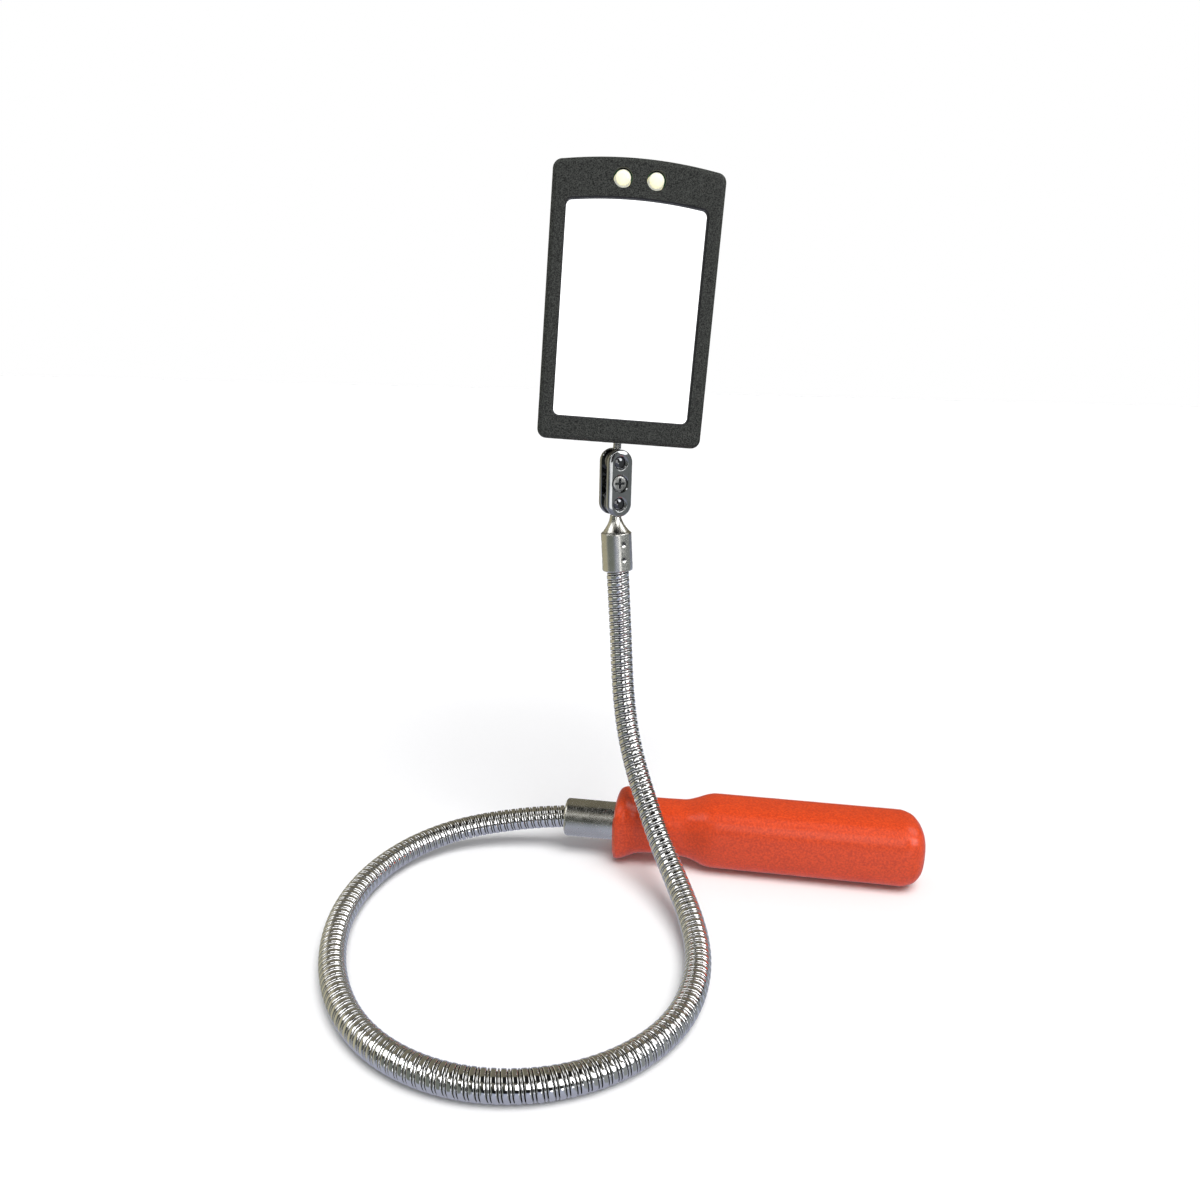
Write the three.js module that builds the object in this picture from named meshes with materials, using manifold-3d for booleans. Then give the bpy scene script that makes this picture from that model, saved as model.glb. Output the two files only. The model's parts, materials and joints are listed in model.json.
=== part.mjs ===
// Lighted inspection mirror on a flexible gooseneck, standing on a table on its loop and its handle.
// Millimetres, +Z up. Origin: on the table, under the middle of the handle. +X runs along the handle
// to its rear end, +Y points away from the side that the mirror faces.
import * as THREE from "three";
import { mergeVertices } from "three/addons/utils/BufferGeometryUtils.js";
import Module from "manifold-3d";

const wasm = await Module();
wasm.setup();

// ---------------------------------------------------------------- driving dimensions
const GAP = 0.3; // free space left between neighbouring pieces
const DEG = Math.PI / 180;

// Handle: one moulding with a thumb collar, a waist and a rounded-square grip.
const GRIP_HALF = 12.65; // half the width and height of the grip
const WAIST_HALF = 9.8;
const COLLAR_HALF = 13;
const SQUARENESS = 2.8; // exponent of the handle's rounded-square section
const HANDLE_LENGTH = 112.5;
const HANDLE_FRONT = -HANDLE_LENGTH / 2;
const HANDLE_REAR = HANDLE_LENGTH / 2;
const END_ROUND = 8.2; // length of the rounded rear end
const HANDLE_SIDES = 20;
const FLAT_TURN = Math.PI / HANDLE_SIDES; // half a facet, so that one facet lies flat on the table
const HANDLE_Z = GRIP_HALF * Math.cos(FLAT_TURN) ** (2 / SQUARENESS);

const FERRULE_R = 7; // steel tube between the handle and the gooseneck
const FERRULE_OUT = 18.9; // length that stands out of the handle
const FERRULE_IN = 20; // length inside the handle

// Gooseneck: a hollow flexible steel tube, 8 mm over its windings.
const NECK_R = 4;
const NECK_BORE_R = 2;
const NECK_SECTIONS = 24;
const NECK_SIDES = 12;
const SOCKET_R = NECK_R + GAP; // spherical socket round the domed end of the section before
const FLEX_MARGIN = 4; // stays straight for this length next to each ferrule
const BASE_LAST = 7; // hinges 1 to 7 straighten the part next to the handle
const LOOP_LAST = 17; // hinges 8 to 17 straighten the loop, and 18 to 23 belong to the stem
// The way the gooseneck lies: out of the handle, round on the table, then up to the mirror.
const NECK_START = HANDLE_FRONT + 10;
const NECK_MOUTH = HANDLE_FRONT - FERRULE_OUT;
const NECK_PATH = [
  [NECK_START, 0, HANDLE_Z],
  [(NECK_START + NECK_MOUTH) / 2, 0, HANDLE_Z],
  [NECK_MOUTH, 0, HANDLE_Z],
  [-101.1, -3.6, 9.4],
  [-120.9, -13.4, 6.8],
  [-134.1, -31.6, 4.8],
  [-138, -58, NECK_R + 0.1],
  [-130.6, -87.6, NECK_R],
  [-115.6, -110.3, NECK_R],
  [-98.3, -122.9, NECK_R],
  [-74.6, -127.9, NECK_R],
  [-52, -122.6, NECK_R],
  [-33, -108, NECK_R],
  [-22.9, -87.8, NECK_R + 0.1],
  [-21.8, -61.4, 4.8],
  [-28.8, -39, 10],
  [-38.1, -22.2, 20],
  [-46.5, -9.2, 34.3],
  [-53.2, 1.1, 52.2],
  [-56.5, 8.3, 73],
  [-57.8, 10.7, 88],
  [-59.3, 11.4, 106.5],
  [-60, 11.5, 117.5],
];

// Top ferrule, turned in one piece with the stem of its ball.
const TIP_R = 5.55;
const TIP_LENGTH = 13;
const TIP_OVERLAP = 10; // length of gooseneck inside the ferrule
const TIP_STEM_R = 2;
const TIP_FLARE = 7;
const TIP_BALL = 24.8; // from the ferrule's mouth to the centre of its ball

// Link: two plates that clamp two balls, drawn together by one screw.
const BALL_R = 4;
const LINK_SPACING = 14.7;
const LINK_R = 4.6;
const LINK_INNER = 2.5; // from the middle plane to a plate's inner face
const LINK_PLATE = 2.2;
const LINK_FACE = LINK_INNER + LINK_PLATE;
const LINK_HOLE_R = 2.8;
const LINK_YAW = 30.4 * DEG;
const SCREW_HEAD_R = 2.7;
const SCREW_HEAD_T = 1.1;
const SCREW_SUNK = 1.7; // depth of the counterbore for the screw's head
const SCREW_R = 1.25;

// Mirror head, in its own frame: origin at its ball, x to the right, y to the back, z up.
const HEAD_YAW = 11.4 * DEG;
const HEAD_ROLL = 3.2 * DEG;
const HEAD_W = 57.2;
const HEAD_H = 90;
const HEAD_BOW = 2.1; // how far the top edge bows up
const HEAD_CORNER = 3.2;
const HEAD_Z = 6.9; // bottom face above the ball's centre
const HEAD_FRONT = -6;
const HEAD_SPLIT = 2.4; // joint between bezel and back cover
const HEAD_BACK = 8;
const COVER_INSET = 0.4; // the back cover is this much smaller all round
const WALL = 1.7;
const VIEW_W = 47; // opening over the mirror
const VIEW_H = 69.9;
const VIEW_Z = HEAD_Z + 8.2;
const VIEW_BOW = 1.5;
const VIEW_CORNER = 2;
const GLASS_T = 2;
const GLASS_LIP = 1.6; // the glass is this much larger than the opening all round
const LED_X = 5.5;
const LED_Z = HEAD_Z + HEAD_H + HEAD_BOW - 6.4;
const LED_HOLE_R = 3.1;
const LED_R = 2.6;
const LED_BACK = HEAD_FRONT + 6.3;
const CELL_R = 10;
const CELL_T = 3.2;
const CELL_X = 11.2;
const CELL_Z = HEAD_Z + 40;
const DOOR_H = 25;
const DOOR_LEFT = -24;
const POST_X = HEAD_W / 2 - 4.3;
const POST_LOW = HEAD_Z + 3.9;
const POST_HIGH = HEAD_Z + HEAD_H - 4.6;
const POST_R = 2.1;

// ---------------------------------------------------------------- materials
const finish = (color, roughness, metalness) => () =>
  new THREE.MeshStandardMaterial({ color, roughness, metalness });
const MATERIALS = {
  orange: finish(0xea5b26, 0.45, 0),
  charcoal: finish(0x43464a, 0.7, 0),
  chrome: finish(0xb9babb, 0.18, 1),
  nickel: finish(0xa9a69d, 0.3, 1),
  steel: finish(0x8b8d90, 0.35, 1),
  silvered: finish(0xf2f4f5, 0.03, 1),
  lamp: finish(0xf3edc4, 0.2, 0),
  foam: finish(0x2a2a2a, 0.95, 0),
  board: finish(0x1e6b3a, 0.5, 0),
  black: finish(0x17181a, 0.5, 0),
  brass: finish(0xc7a254, 0.35, 1),
};

// ---------------------------------------------------------------- geometry helpers
function solid(geometry) {
  const bare = geometry.clone();
  bare.deleteAttribute("normal");
  bare.deleteAttribute("uv");
  const merged = mergeVertices(bare, 1e-4);
  return new wasm.Manifold(
    new wasm.Mesh({
      numProp: 3,
      vertProperties: merged.attributes.position.array,
      triVerts: new Uint32Array(merged.index.array),
    }),
  );
}

function geometryOf(made) {
  const mesh = made.getMesh();
  return new THREE.BufferGeometry()
    .setAttribute("position", new THREE.BufferAttribute(mesh.vertProperties, 3))
    .setIndex(new THREE.BufferAttribute(mesh.triVerts, 1));
}

// A closed skin over rings of points; the last ring joins the first, or both ends are capped flat.
function skin(rings, closed) {
  const sides = rings[0].length;
  const points = rings.flat();
  const index = [];
  const spans = closed ? rings.length : rings.length - 1;
  for (let i = 0; i < spans; i++)
    for (let j = 0; j < sides; j++) {
      const a = i * sides + j;
      const b = i * sides + ((j + 1) % sides);
      const c = ((i + 1) % rings.length) * sides + j;
      const d = ((i + 1) % rings.length) * sides + ((j + 1) % sides);
      index.push(a, b, d, a, d, c);
    }
  if (!closed)
    for (const [first, turned] of [[0, true], [(rings.length - 1) * sides, false]])
      for (let j = 1; j < sides - 1; j++) {
        const fan = [first, first + j, first + j + 1];
        index.push(...(turned ? fan.reverse() : fan));
      }
  return new THREE.BufferGeometry()
    .setAttribute("position", new THREE.Float32BufferAttribute(points.flatMap((p) => p.toArray()), 3))
    .setIndex(index);
}

// A shape drawn in x and z, thickened from y0 to y1.
function slab(shape, y0, y1, curveSegments = 4) {
  return new THREE.ExtrudeGeometry(shape, { depth: y1 - y0, bevelEnabled: false, curveSegments })
    .rotateX(Math.PI / 2)
    .translate(0, y1, 0);
}

function box(x0, x1, y0, y1, z0, z1) {
  return new THREE.BoxGeometry(x1 - x0, y1 - y0, z1 - z0)
    .translate((x0 + x1) / 2, (y0 + y1) / 2, (z0 + z1) / 2);
}

// A cylinder along y, from y0 to y1.
function rod(r, y0, y1, x, z, sides = 16) {
  return new THREE.CylinderGeometry(r, r, y1 - y0, sides).translate(x, (y0 + y1) / 2, z);
}

// A rectangle with rounded corners, whose top edge bows up in the middle.
function panel(w, z0, h, corner, bow = 0) {
  const x = w / 2;
  const z1 = z0 + h;
  const s = new THREE.Shape();
  s.moveTo(-x + corner, z0);
  s.lineTo(x - corner, z0);
  s.quadraticCurveTo(x, z0, x, z0 + corner);
  s.lineTo(x, z1 - corner);
  s.quadraticCurveTo(x, z1, x - corner, z1 + bow * 0.2);
  if (bow) s.quadraticCurveTo(0, z1 + bow * 1.8, -x + corner, z1 + bow * 0.2);
  else s.lineTo(-x + corner, z1);
  s.quadraticCurveTo(-x, z1, -x, z1 - corner);
  s.lineTo(-x, z0 + corner);
  s.quadraticCurveTo(-x, z0, -x + corner, z0);
  return s;
}

function circle(r, x = 0, z = 0) {
  return new THREE.Shape().absarc(x, z, r, 0, 2 * Math.PI, false);
}

function part(name, geometry, material) {
  const mesh = new THREE.Mesh(geometry, MATERIALS[material]());
  mesh.name = name;
  return mesh;
}

// ---------------------------------------------------------------- handle
// Half heights along the handle: [x, above the axis, below the axis, to each side].
function handleStations() {
  const out = [
    [HANDLE_FRONT, COLLAR_HALF - 7, COLLAR_HALF, COLLAR_HALF - 4],
    [HANDLE_FRONT + 0.5, COLLAR_HALF - 3.8, COLLAR_HALF, COLLAR_HALF - 2.2],
    [HANDLE_FRONT + 1.6, COLLAR_HALF - 1.6, COLLAR_HALF - 0.1, COLLAR_HALF - 0.8],
    [HANDLE_FRONT + 4, COLLAR_HALF - 0.5, COLLAR_HALF - 1, COLLAR_HALF - 0.6],
    [HANDLE_FRONT + 6, COLLAR_HALF - 1.3, COLLAR_HALF - 1.8, COLLAR_HALF - 1.4],
    [HANDLE_FRONT + 9, WAIST_HALF + 0.3, WAIST_HALF + 0.3, WAIST_HALF + 0.5],
    [HANDLE_FRONT + 14, WAIST_HALF - 0.5, WAIST_HALF - 0.2, WAIST_HALF],
    [HANDLE_FRONT + 26, WAIST_HALF - 0.2, WAIST_HALF, WAIST_HALF],
    [HANDLE_FRONT + 31, WAIST_HALF + 1.1, WAIST_HALF + 1.3, WAIST_HALF + 1.2],
    [HANDLE_FRONT + 34.2, GRIP_HALF - 0.6, GRIP_HALF - 0.4, GRIP_HALF - 0.5],
    [HANDLE_FRONT + 37.5, GRIP_HALF, GRIP_HALF, GRIP_HALF],
    [HANDLE_REAR - END_ROUND, GRIP_HALF, GRIP_HALF, GRIP_HALF],
  ];
  for (const turn of [30, 55, 75, 90]) {
    const half = GRIP_HALF - END_ROUND * (1 - Math.cos(turn * DEG));
    out.push([HANDLE_REAR - END_ROUND * (1 - Math.sin(turn * DEG)), half, half, half]);
  }
  return out;
}

function handle() {
  const rings = handleStations().map(([x, up, down, side]) => {
    const ring = [];
    for (let j = 0; j < HANDLE_SIDES; j++) {
      const a = -Math.PI / 2 + FLAT_TURN + (j * 2 * Math.PI) / HANDLE_SIDES;
      const c = Math.cos(a);
      const s = Math.sin(a);
      const y = Math.sign(c) * Math.abs(c) ** (2 / SQUARENESS) * side;
      const z = Math.sign(s) * Math.abs(s) ** (2 / SQUARENESS) * (s > 0 ? up : down);
      ring.push(new THREE.Vector3(x, y, HANDLE_Z + z));
    }
    return ring;
  });
  const socket = new THREE.CylinderGeometry(FERRULE_R + GAP, FERRULE_R + GAP, FERRULE_IN + 6, 24)
    .rotateZ(Math.PI / 2)
    .translate(HANDLE_FRONT + FERRULE_IN / 2 - 2.5, 0, HANDLE_Z);
  return part("handle", geometryOf(solid(skin(rings, false)).subtract(solid(socket))), "orange");
}

function handleFerrule() {
  const bore = NECK_R + GAP;
  const rings = [
    [-FERRULE_OUT, bore + 0.5],
    [-FERRULE_OUT, FERRULE_R - 0.5],
    [-FERRULE_OUT + 0.5, FERRULE_R],
    [FERRULE_IN, FERRULE_R],
    [FERRULE_IN, bore],
    [-FERRULE_OUT + 0.5, bore],
  ].map(([x, r]) => {
    const ring = [];
    for (let j = 0; j < 24; j++) {
      const a = (j * Math.PI) / 12;
      ring.push(new THREE.Vector3(HANDLE_FRONT + x, r * Math.cos(a), HANDLE_Z + r * Math.sin(a)));
    }
    return ring;
  });
  return part("handle_ferrule", skin(rings, true), "nickel");
}

// ---------------------------------------------------------------- gooseneck
const path = new THREE.CatmullRomCurve3(NECK_PATH.map((p) => new THREE.Vector3(...p)));
path.arcLengthDivisions = 2000;
const PATH_LENGTH = path.getLength();
const FRAME_STEPS = 960;
const frames = path.computeFrenetFrames(FRAME_STEPS, false);

const pointAt = (s) => path.getPointAt(s / PATH_LENGTH);
const tangentAt = (s) => path.getTangentAt(s / PATH_LENGTH).normalize();

function ringAt(s, along, r) {
  const tangent = tangentAt(s);
  const normal = frames.normals[Math.round((s / PATH_LENGTH) * FRAME_STEPS)].clone();
  normal.addScaledVector(tangent, -normal.dot(tangent)).normalize();
  const side = new THREE.Vector3().crossVectors(tangent, normal);
  const ring = [];
  for (let j = 0; j < NECK_SIDES; j++) {
    const a = (j * 2 * Math.PI) / NECK_SIDES;
    ring.push(
      pointAt(s)
        .addScaledVector(tangent, along)
        .addScaledVector(normal, r * Math.cos(a))
        .addScaledVector(side, r * Math.sin(a)),
    );
  }
  return ring;
}

// Arc lengths of the hinges between neighbouring sections.
const FLEX_FROM = NECK_START - NECK_MOUTH + FLEX_MARGIN;
const FLEX_TO = PATH_LENGTH - TIP_OVERLAP - FLEX_MARGIN;
const hingeS = (k) => FLEX_FROM + ((FLEX_TO - FLEX_FROM) * (k - 1)) / (NECK_SECTIONS - 2);
const middleS = (i) => {
  if (i === 1) return FLEX_FROM / 2;
  if (i === NECK_SECTIONS) return PATH_LENGTH - TIP_OVERLAP / 2;
  return (hingeS(i - 1) + hingeS(i)) / 2;
};

// Hinge k joins section k to section k + 1. In the stem, every second hinge sways sideways instead.
function hinge(k) {
  const inStem = k > LOOP_LAST;
  const sways = inStem && (k - LOOP_LAST) % 2 === 0;
  const stemStart = tangentAt(hingeS(LOOP_LAST));
  const stemEnd = tangentAt(hingeS(NECK_SECTIONS - 1));
  const stemAxis = new THREE.Vector3().crossVectors(stemStart, stemEnd).normalize();
  if (sways) {
    const axis = new THREE.Vector3().crossVectors(tangentAt(hingeS(k)), stemAxis).normalize();
    return { zone: "sway", at: pointAt(hingeS(k)), axis, bend: 0 };
  }
  const before = tangentAt(inStem && k > LOOP_LAST + 1 ? hingeS(k - 1) : middleS(k));
  const after = tangentAt(inStem ? hingeS(k + 1) : middleS(k + 1));
  // turning the child by this much about this axis brings the two tangents into line
  const axis = new THREE.Vector3().crossVectors(after, before).normalize();
  const zone = inStem ? "stem" : k > BASE_LAST ? "loop" : "base";
  return { zone, at: pointAt(hingeS(k)), axis, bend: before.angleTo(after) / DEG };
}

function neckSection(i) {
  const first = i === 1;
  const last = i === NECK_SECTIONS;
  const from = first ? 0 : hingeS(i - 1);
  const to = last ? PATH_LENGTH : hingeS(i);
  const rimAt = Math.sqrt(SOCKET_R ** 2 - NECK_R ** 2);
  const bottomAt = Math.sqrt(SOCKET_R ** 2 - NECK_BORE_R ** 2);
  const start = first ? from : from + rimAt;
  const third = (to - start) / 3;
  const rings = [];
  for (let n = 0; n < 3; n++)
    rings.push(n === 0 && !first ? ringAt(from, rimAt, NECK_R) : ringAt(start + n * third, 0, NECK_R));
  rings.push(ringAt(to, 0, NECK_R));
  if (!last) {
    rings.push(ringAt(to, NECK_R * Math.sin(32 * DEG), NECK_R * Math.cos(32 * DEG)));
    rings.push(ringAt(to, Math.sqrt(NECK_R ** 2 - NECK_BORE_R ** 2), NECK_BORE_R));
  } else rings.push(ringAt(to, 0, NECK_BORE_R));
  rings.push(ringAt(start + 2 * third, 0, NECK_BORE_R));
  rings.push(ringAt(start + third, 0, NECK_BORE_R));
  if (first) rings.push(ringAt(from, 0, NECK_BORE_R));
  else {
    const turn = (Math.asin(rimAt / SOCKET_R) + Math.asin(bottomAt / SOCKET_R)) / 2;
    rings.push(ringAt(from, bottomAt, NECK_BORE_R));
    rings.push(ringAt(from, SOCKET_R * Math.sin(turn), SOCKET_R * Math.cos(turn)));
  }
  const mesh = part(`gooseneck_${String(i).padStart(2, "0")}`, skin(rings, true), "chrome");
  if (!first) mesh.userData.hinge = hinge(i - 1);
  return mesh;
}

// ---------------------------------------------------------------- top ferrule and balls
// A group whose +Z runs along the gooseneck's end, with its origin at the ferrule's mouth.
function tipGroup() {
  const group = new THREE.Group();
  group.position.copy(pointAt(PATH_LENGTH - TIP_OVERLAP));
  group.quaternion.setFromUnitVectors(new THREE.Vector3(0, 0, 1), tangentAt(PATH_LENGTH - TIP_OVERLAP));
  return group;
}

// A body turned about z, from [radius, height] points.
function turned(profile, sides) {
  const points = profile.map(([r, z]) => new THREE.Vector2(r, z));
  return new THREE.LatheGeometry(points, sides).rotateX(Math.PI / 2);
}

function neckFerrule() {
  const bore = NECK_R + 2 * GAP;
  const flareTop = TIP_LENGTH + TIP_FLARE;
  const stemEnd = TIP_BALL - Math.sqrt((BALL_R + GAP) ** 2 - (TIP_STEM_R - 0.5) ** 2);
  const profile = [
    [0, TIP_OVERLAP + 1],
    [bore, TIP_OVERLAP + 1],
    [bore, 0],
    [TIP_R - 0.3, 0],
    [TIP_R, 0.4],
    [TIP_R, TIP_LENGTH - 0.3],
  ];
  for (const share of [0, 0.3, 0.6, 1]) {
    const r = TIP_STEM_R + (TIP_R - 0.3 - TIP_STEM_R) * (1 - share) ** 1.7;
    profile.push([r, TIP_LENGTH + TIP_FLARE * share]);
  }
  profile.push([TIP_STEM_R - 0.5, Math.max(stemEnd, flareTop + 0.3)]);
  profile.push([0, Math.max(stemEnd, flareTop + 0.3)]);
  return part("neck_ferrule", turned(profile, 20), "nickel");
}

function ball(name) {
  return part(name, new THREE.SphereGeometry(BALL_R, 16, 12), "steel");
}

// ---------------------------------------------------------------- link
function linkPlate(name, y0) {
  const outline = new THREE.Shape();
  outline.absarc(0, 0, LINK_R, Math.PI, 2 * Math.PI, false);
  outline.absarc(0, LINK_SPACING, LINK_R, 0, Math.PI, false);
  outline.holes.push(circle(LINK_HOLE_R), circle(LINK_HOLE_R, 0, LINK_SPACING));
  outline.holes.push(circle(SCREW_R + GAP, 0, LINK_SPACING / 2));
  let made = solid(slab(outline, y0, y0 + LINK_PLATE, 9));
  for (const z of [0, LINK_SPACING]) {
    const seat = new THREE.SphereGeometry(BALL_R + GAP, 24, 18).translate(0, 0, z);
    made = made.subtract(solid(seat));
  }
  const sunk = rod(SCREW_HEAD_R + GAP, -LINK_FACE - 1, -LINK_FACE + SCREW_SUNK, 0, LINK_SPACING / 2, 24);
  return part(name, geometryOf(made.subtract(solid(sunk))), "steel");
}

function linkScrew() {
  const under = -LINK_FACE + SCREW_SUNK - GAP / 2;
  const top = under - SCREW_HEAD_T;
  const middle = LINK_SPACING / 2;
  const shank = rod(SCREW_R, under - 0.2, LINK_FACE, 0, middle, 12);
  const head = rod(SCREW_HEAD_R, top, under, 0, middle, 20);
  const slot = box(-SCREW_HEAD_R, SCREW_HEAD_R, top - 1, top + 0.6, middle - 0.4, middle + 0.4);
  return part("link_screw", geometryOf(solid(head).add(solid(shank)).subtract(solid(slot))), "steel");
}

// ---------------------------------------------------------------- mirror head
const headOutline = (inset) =>
  panel(HEAD_W - 2 * inset, HEAD_Z + inset, HEAD_H - 2 * inset, HEAD_CORNER - inset / 2, HEAD_BOW);

const posts = () => [-1, 1].flatMap((side) => [POST_LOW, POST_HIGH].map((z) => [side * POST_X, z]));

function bezel() {
  const face = headOutline(0);
  face.holes.push(panel(VIEW_W, VIEW_Z, VIEW_H, VIEW_CORNER, VIEW_BOW));
  face.holes.push(circle(LED_HOLE_R, -LED_X, LED_Z), circle(LED_HOLE_R, LED_X, LED_Z));
  const rim = headOutline(0);
  rim.holes.push(headOutline(WALL));
  let made = solid(slab(face, HEAD_FRONT, HEAD_FRONT + WALL)).add(
    solid(slab(rim, HEAD_FRONT + WALL / 2, HEAD_SPLIT)),
  );
  for (const [x, z] of posts()) {
    made = made.add(solid(rod(POST_R, HEAD_FRONT + WALL / 2, HEAD_SPLIT, x, z, 12)));
    made = made.subtract(solid(rod(SCREW_R + 0.1, HEAD_FRONT + 3, HEAD_SPLIT + 1, x, z, 10)));
  }
  const studHole = new THREE.CylinderGeometry(1.8, 1.8, 4, 16).rotateX(Math.PI / 2).translate(0, 0, HEAD_Z);
  return part("bezel", geometryOf(made.subtract(solid(studHole))), "charcoal");
}

function backCover() {
  const rim = headOutline(COVER_INSET);
  rim.holes.push(headOutline(WALL + COVER_INSET));
  let made = solid(slab(rim, HEAD_SPLIT + GAP, HEAD_BACK - WALL / 2)).add(
    solid(slab(headOutline(COVER_INSET), HEAD_BACK - WALL, HEAD_BACK)),
  );
  const reach = DOOR_H / 2 + GAP;
  const bay = box(DOOR_LEFT - GAP, HEAD_W, HEAD_SPLIT + 3.4, HEAD_BACK + 1, CELL_Z - reach, CELL_Z + reach);
  const slot = box(-4, 4, HEAD_SPLIT, HEAD_BACK + 1, POST_HIGH - 1.7, POST_HIGH + 1.7);
  made = made.subtract(solid(bay)).subtract(solid(slot));
  for (const [x, z] of posts()) {
    made = made.subtract(solid(rod(SCREW_R + 0.1, HEAD_SPLIT, HEAD_BACK + 1, x, z, 10)));
    made = made.subtract(solid(rod(2.4, HEAD_BACK - 1.1, HEAD_BACK + 1, x, z, 14)));
  }
  return part("back_cover", geometryOf(made), "charcoal");
}

function mirrorGlass() {
  const shape = panel(VIEW_W + 2 * GLASS_LIP, VIEW_Z - GLASS_LIP, VIEW_H + 2 * GLASS_LIP, 2, VIEW_BOW);
  const front = HEAD_FRONT + WALL + GAP;
  return part("mirror_glass", slab(shape, front, front + GLASS_T), "silvered");
}

function mirrorPad() {
  const front = HEAD_FRONT + WALL + 2 * GAP + GLASS_T;
  return part("mirror_pad", slab(panel(40, VIEW_Z + 4, VIEW_H - 8, 1), front, front + 0.8), "foam");
}

const TRAY_FRONT = HEAD_FRONT + WALL + 3 * GAP + GLASS_T + 0.8;
const CELL_FRONT = TRAY_FRONT + 1.1 + 3 * GAP;

function batteryTray() {
  let made = solid(slab(panel(45, VIEW_Z + 1, VIEW_H - 4, 1), TRAY_FRONT, TRAY_FRONT + 1.1));
  for (const side of [-1, 1]) {
    const ring = circle(CELL_R + GAP + 0.7, side * CELL_X, CELL_Z);
    ring.holes.push(circle(CELL_R + GAP, side * CELL_X, CELL_Z));
    made = made.add(solid(slab(ring, TRAY_FRONT + 0.6, TRAY_FRONT + 3.6, 10)));
  }
  for (const side of [-1, 1]) {
    const well = rod(CELL_R + GAP, TRAY_FRONT + 1.1, TRAY_FRONT + 5, side * CELL_X, CELL_Z, 40);
    made = made.subtract(solid(well));
  }
  const channel = box(-10, 10, TRAY_FRONT + 1.1, CELL_FRONT + 0.5, CELL_Z - 3.4, CELL_Z + 3.4);
  return part("battery_tray", geometryOf(made.subtract(solid(channel))), "black");
}

function coinCell(name, x) {
  const profile = [
    [0, 0],
    [CELL_R - 1.6, 0],
    [CELL_R, 0.5],
    [CELL_R, CELL_T],
    [0, CELL_T],
  ];
  const geometry = turned(profile, 24).rotateX(-Math.PI / 2).translate(x, CELL_FRONT, CELL_Z);
  return part(name, geometry, "steel");
}

function contacts() {
  const back = CELL_FRONT + CELL_T + GAP;
  const bridge = box(-17, 17, CELL_FRONT - 0.6, CELL_FRONT - 0.3, CELL_Z - 3, CELL_Z + 3);
  const left = box(-14, -8, back, back + 0.3, CELL_Z - 8, CELL_Z + 8);
  const right = box(8, 14, back, back + 0.3, CELL_Z - 8, CELL_Z + 8);
  return [
    part("contact_bridge", bridge, "brass"),
    part("contact_left", left, "brass"),
    part("contact_right", right, "brass"),
  ];
}

function batteryDoor() {
  const right = HEAD_W / 2 - COVER_INSET;
  const half = DOOR_H / 2;
  const plate = box(DOOR_LEFT, right, HEAD_BACK - WALL, HEAD_BACK, CELL_Z - half, CELL_Z + half);
  return part("battery_door", plate, "charcoal");
}

function led(name, x) {
  const profile = [
    [0, 0],
    [LED_R + 0.25, 0],
    [LED_R + 0.25, 1],
    [LED_R, 1],
    [LED_R, 5.4],
    [LED_R * 0.72, 6.1],
    [0, 6.5],
  ];
  return part(name, turned(profile, 16).rotateX(Math.PI / 2).translate(x, LED_BACK, LED_Z), "lamp");
}

const BOARD_FRONT = LED_BACK + GAP;

function circuitBoard() {
  const board = box(-15, 15, BOARD_FRONT, BOARD_FRONT + 1.2, LED_Z - 4.6, LED_Z + 3.4);
  return part("circuit_board", board, "board");
}

function switchBody() {
  const front = BOARD_FRONT + 1.2 + GAP;
  return part("switch_body", box(-4.3, 4.3, front, front + 3, POST_HIGH - 2.2, POST_HIGH + 2.2), "steel");
}

function switchSlider() {
  const front = BOARD_FRONT + 1.2 + 2 * GAP + 3;
  const thumb = box(-3.2, 0.2, front, HEAD_BACK + 0.9, POST_HIGH - 1.3, POST_HIGH + 1.3);
  return part("switch_slider", thumb, "black");
}

function backScrew(name, x, z) {
  const shank = rod(1, HEAD_FRONT + 3.5, HEAD_BACK - 0.9, x, z, 8);
  const head = rod(2.1, HEAD_BACK - 1, HEAD_BACK - 0.1, x, z, 12);
  return part(name, geometryOf(solid(shank).add(solid(head))), "steel");
}

function headStud() {
  const start = Math.sqrt((BALL_R + GAP) ** 2 - 1);
  const profile = [[0, start], [1, start], [1.5, start + 0.4], [1.5, HEAD_Z + 5], [0, HEAD_Z + 5]];
  return part("head_stud", turned(profile, 14), "nickel");
}

function studNut() {
  const nut = new THREE.CylinderGeometry(3.1, 3.1, 2, 6).rotateX(Math.PI / 2);
  const bore = new THREE.CylinderGeometry(1.65, 1.65, 3, 14).rotateX(Math.PI / 2);
  const made = solid(nut).subtract(solid(bore));
  const seat = HEAD_Z + COVER_INSET + WALL + GAP;
  return part("stud_nut", geometryOf(made).translate(0, 0, seat + 1), "steel");
}

function headGroup() {
  const group = new THREE.Group();
  group.rotation.set(0, HEAD_ROLL, HEAD_YAW, "ZYX");
  group.add(headStud(), studNut(), bezel(), backCover(), mirrorGlass(), mirrorPad(), batteryTray());
  group.add(led("led_left", -LED_X), led("led_right", LED_X), circuitBoard(), switchBody(), switchSlider());
  group.add(coinCell("coin_cell_left", -CELL_X), coinCell("coin_cell_right", CELL_X), ...contacts());
  group.add(batteryDoor());
  posts().forEach(([x, z], n) => group.add(backScrew(`back_screw_${n + 1}`, x, z)));
  return group;
}

// ---------------------------------------------------------------- assembly
const mirror = new THREE.Group();
mirror.add(handle(), handleFerrule());
for (let i = 1; i <= NECK_SECTIONS; i++) mirror.add(neckSection(i));

const tip = tipGroup();
tip.add(neckFerrule());
mirror.add(tip);

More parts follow.
